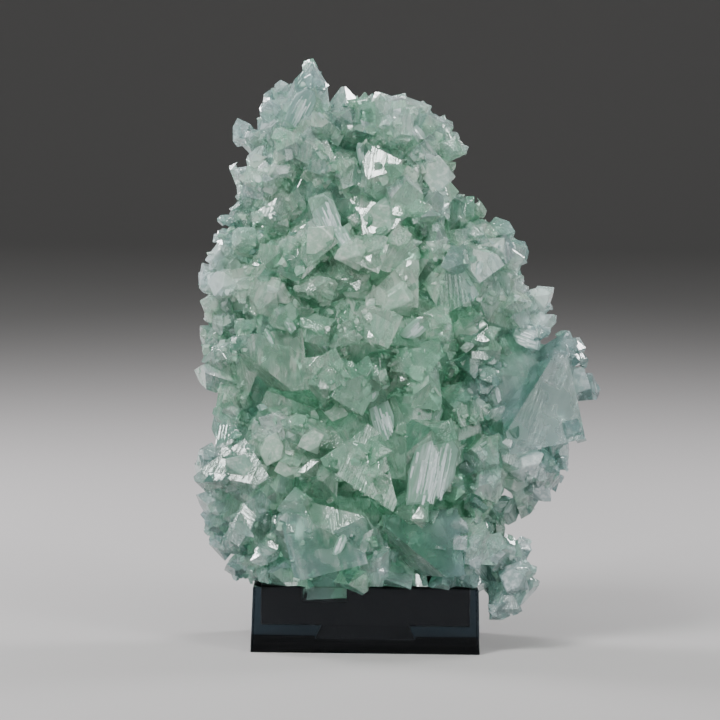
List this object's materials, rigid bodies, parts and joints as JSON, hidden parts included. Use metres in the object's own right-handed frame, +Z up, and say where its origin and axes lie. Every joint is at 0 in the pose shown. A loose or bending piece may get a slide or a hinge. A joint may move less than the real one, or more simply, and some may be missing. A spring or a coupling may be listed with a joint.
{
  "type": "mineral specimen on display block",
  "caption": "Pale green apophyllite cluster of intergrown blocky crystals, bedded in black putty on a smoked acrylic display block.",
  "frame": {"origin": "centre of the display block's underside", "axes": "+Z up along the cluster's height, +X to the right and -Y towards the viewer of the display side"},
  "size_m": [0.125, 0.0685, 0.1798],
  "materials": {
    "apophyllite": "translucent pale green crystal, vitreous with pearly and frosted faces",
    "smoked_acrylic": "polished, dark smoke tint",
    "black_putty": "matte, hand pressed"
  },
  "bodies": {
    "root": {"crystal_cluster": "apophyllite", "acrylic_base": "smoked_acrylic", "mounting_putty": "black_putty"}
  },
  "joints": []
}
